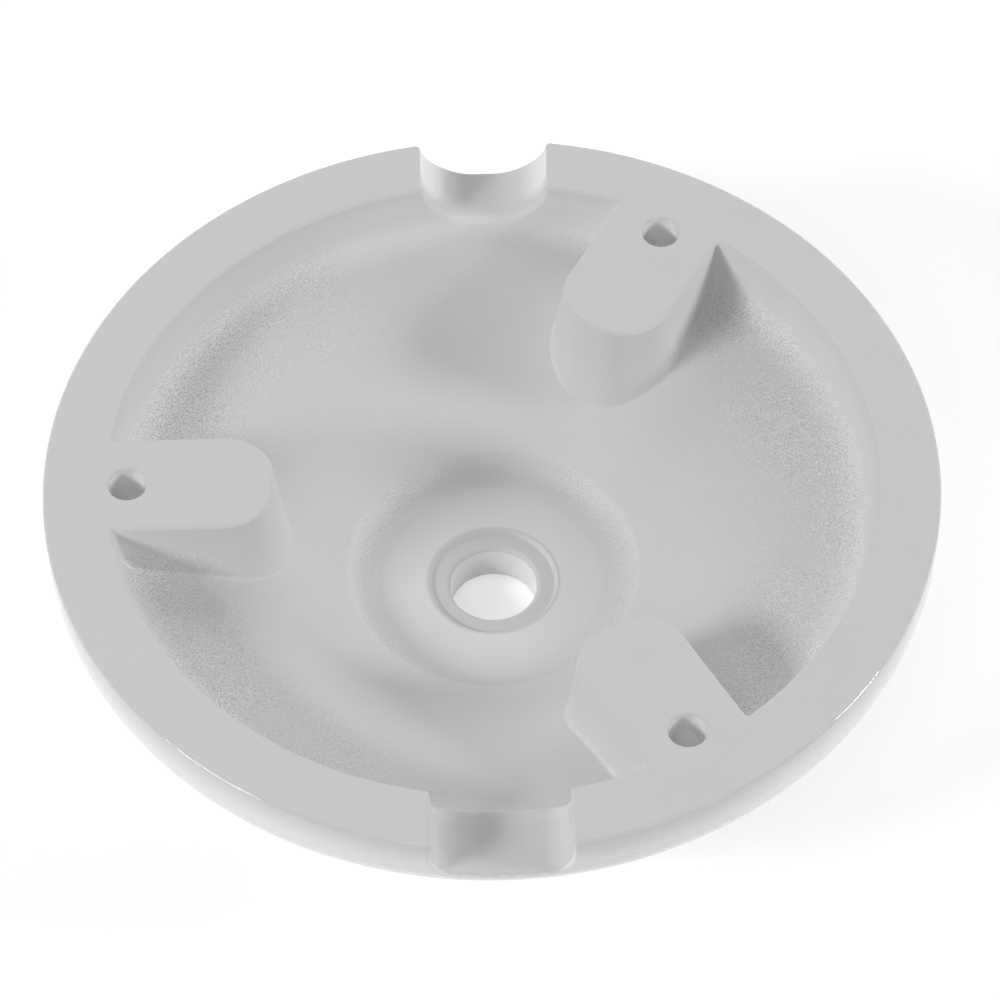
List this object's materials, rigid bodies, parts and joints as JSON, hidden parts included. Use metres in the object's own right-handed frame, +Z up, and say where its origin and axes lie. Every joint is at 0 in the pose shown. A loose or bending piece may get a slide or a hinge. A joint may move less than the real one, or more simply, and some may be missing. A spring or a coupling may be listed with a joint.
{
  "type": "electrical ceiling rose",
  "caption": "Round white glazed porcelain ceiling rose: a shallow dish with flush screw bosses inside, cable notches through its rim and a central cable hole.",
  "frame": {"origin": "centre of the rim face that lies against the ceiling", "axes": "+Z up into the ceiling, +Y through a cable notch, -X through a screw boss"},
  "size_m": [0.106, 0.1053, 0.0268],
  "materials": {
    "glazed_porcelain": "clear gloss glaze over white porcelain"
  },
  "bodies": {
    "root": {"porcelain_rose": "glazed_porcelain"}
  },
  "joints": []
}
